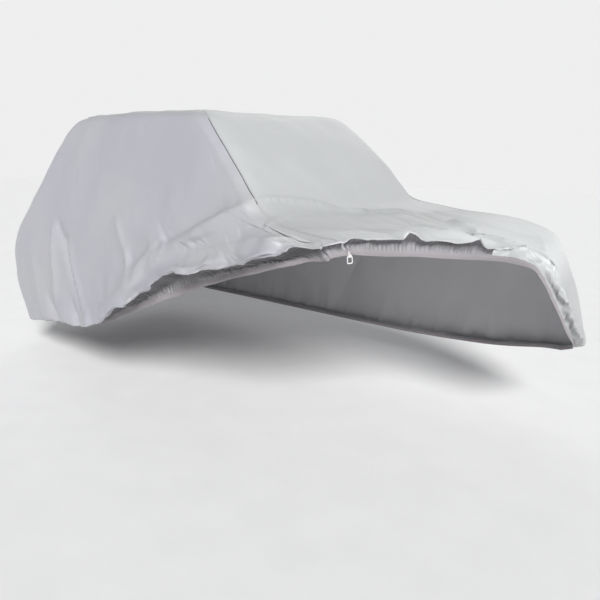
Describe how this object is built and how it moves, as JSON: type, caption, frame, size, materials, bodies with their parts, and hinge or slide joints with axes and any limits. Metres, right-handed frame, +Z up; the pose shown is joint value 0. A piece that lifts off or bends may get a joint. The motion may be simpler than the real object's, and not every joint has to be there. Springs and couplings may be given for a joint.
{
  "type": "car cover",
  "caption": "Fitted half cover of thin coated cloth for a small hatchback's roof, glass and sides, with an elasticated hem and a strap clip.",
  "frame": {"origin": "underside of the cloth at the middle of the roof, where the cover is held up", "axes": "+X towards the nose, +Y towards the far side, +Z up"},
  "size_m": [3.0236, 1.4588, 1.2601],
  "materials": {
    "centre_cloth": "satin coated woven cloth",
    "side_cloth": "satin coated woven cloth",
    "hem_binding": "matt folded cloth over elastic",
    "webbing": "matt woven webbing",
    "clip_plastic": "moulded, half gloss"
  },
  "bodies": {
    "root": {"roof_panel": "centre_cloth", "windscreen_panel": "centre_cloth", "bonnet_panel": "centre_cloth", "tail_panel": "centre_cloth", "near_side_panel": "side_cloth", "far_side_panel": "side_cloth", "hem_band_near": "hem_binding", "hem_band_bonnet": "hem_binding", "hem_band_nose": "hem_binding", "hem_band_far": "hem_binding", "hem_band_tail": "hem_binding", "webbing_tab": "webbing", "clip_loop": "clip_plastic"}
  },
  "joints": []
}
